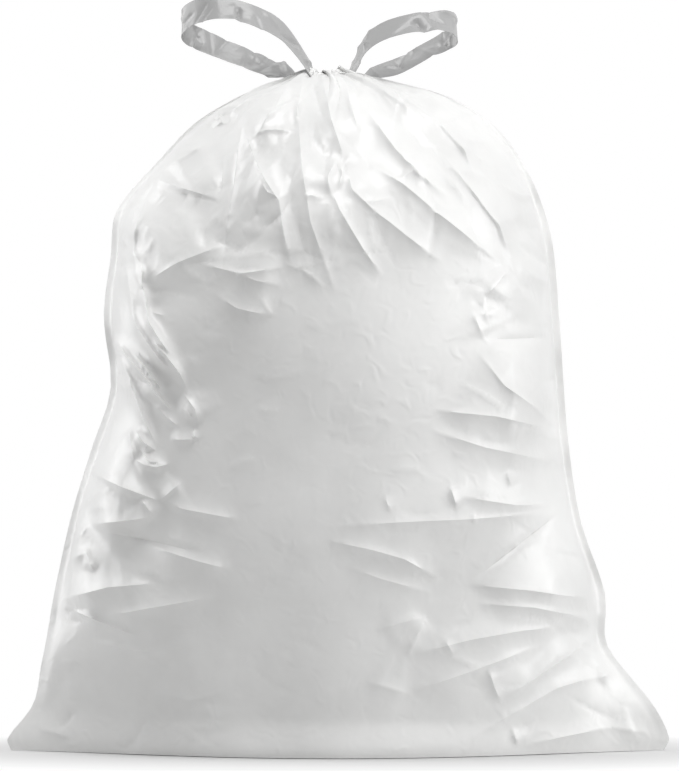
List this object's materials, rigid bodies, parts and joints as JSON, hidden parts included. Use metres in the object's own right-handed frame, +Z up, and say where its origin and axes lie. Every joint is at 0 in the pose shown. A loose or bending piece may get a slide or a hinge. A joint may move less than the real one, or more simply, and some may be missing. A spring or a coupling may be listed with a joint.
{
  "type": "drawstring trash bag",
  "caption": "Filled white film trash bag, drawn shut at a pleated neck by flat grey draw tapes that stand out as hand loops, with flat corner ears at its base.",
  "frame": {"origin": "on the floor under the middle of the bag's bounding box", "axes": "+Z up toward the neck and the hand loops, +X along the bag's width toward the right side seam, +Y from the front panel to the back panel"},
  "size_m": [0.5792, 0.33, 0.6546],
  "materials": {
    "film": "white polyethylene film, glossy and finely crinkled",
    "tape": "grey polyethylene tape, glossy and creased"
  },
  "bodies": {
    "root": {"film_bag": "film", "left_draw_tape": "tape", "right_draw_tape": "tape"}
  },
  "joints": []
}
